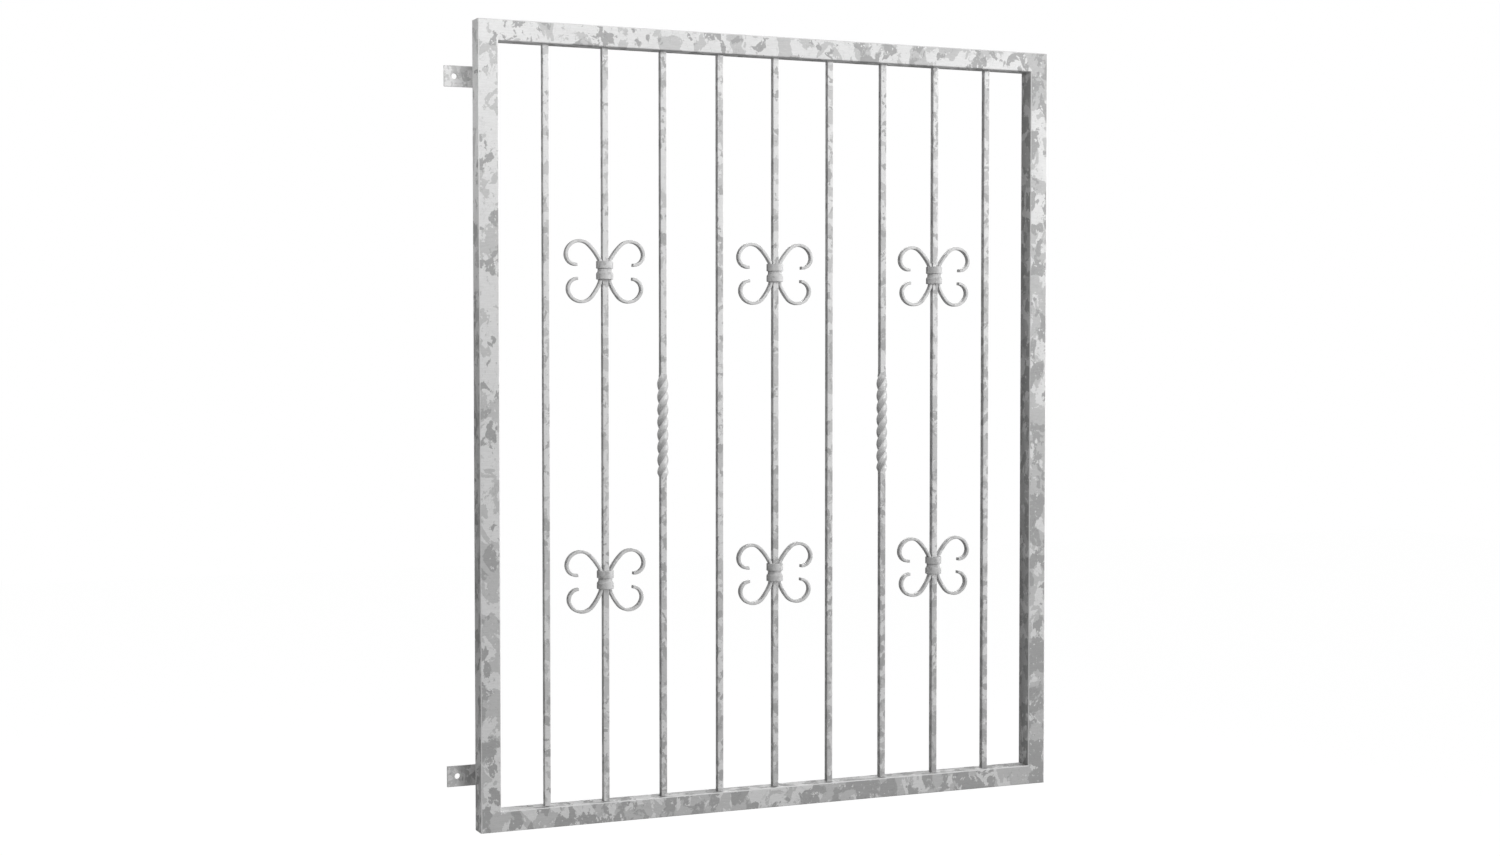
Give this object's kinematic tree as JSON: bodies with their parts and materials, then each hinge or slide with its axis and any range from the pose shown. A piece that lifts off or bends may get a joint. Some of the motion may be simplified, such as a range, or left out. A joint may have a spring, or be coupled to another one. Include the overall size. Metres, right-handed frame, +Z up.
{
  "type": "window grille",
  "caption": "Flat galvanised steel window grille: tube frame with upright square bars, some twisted, butterfly scroll ornaments in collars, and drilled side lugs for the wall.",
  "frame": {"origin": "midway between the two lug holes, on the face of the wall that the lugs rest on", "axes": "+X to the right as seen from outside, +Y into the wall, +Z up"},
  "size_m": [1.305, 0.045, 1.554],
  "materials": {
    "frame_steel": "hot-dip galvanised, patchy spangle",
    "bar_steel": "hot-dip galvanised, patchy spangle",
    "scroll_steel": "hot-dip galvanised, even",
    "collar_steel": "hot-dip galvanised, even",
    "lug_steel": "hot-dip galvanised, patchy spangle"
  },
  "bodies": {
    "root": {"top_rail": "frame_steel", "bottom_rail": "frame_steel", "left_stile": "frame_steel", "right_stile": "frame_steel", "bar_1": "bar_steel", "bar_2": "bar_steel", "twisted_bar_3": "bar_steel", "bar_4": "bar_steel", "bar_5": "bar_steel", "bar_6": "bar_steel", "twisted_bar_7": "bar_steel", "bar_8": "bar_steel", "bar_9": "bar_steel", "scroll_2_upper_left": "scroll_steel", "scroll_2_upper_right": "scroll_steel", "collar_2_upper": "collar_steel", "scroll_2_lower_left": "scroll_steel", "scroll_2_lower_right": "scroll_steel", "collar_2_lower": "collar_steel", "scroll_5_upper_left": "scroll_steel", "scroll_5_upper_right": "scroll_steel", "collar_5_upper": "collar_steel", "scroll_5_lower_left": "scroll_steel", "scroll_5_lower_right": "scroll_steel", "collar_5_lower": "collar_steel", "scroll_8_upper_left": "scroll_steel", "scroll_8_upper_right": "scroll_steel", "collar_8_upper": "collar_steel", "scroll_8_lower_left": "scroll_steel", "scroll_8_lower_right": "scroll_steel", "collar_8_lower": "collar_steel", "upper_lug": "lug_steel", "lower_lug": "lug_steel"}
  },
  "joints": []
}
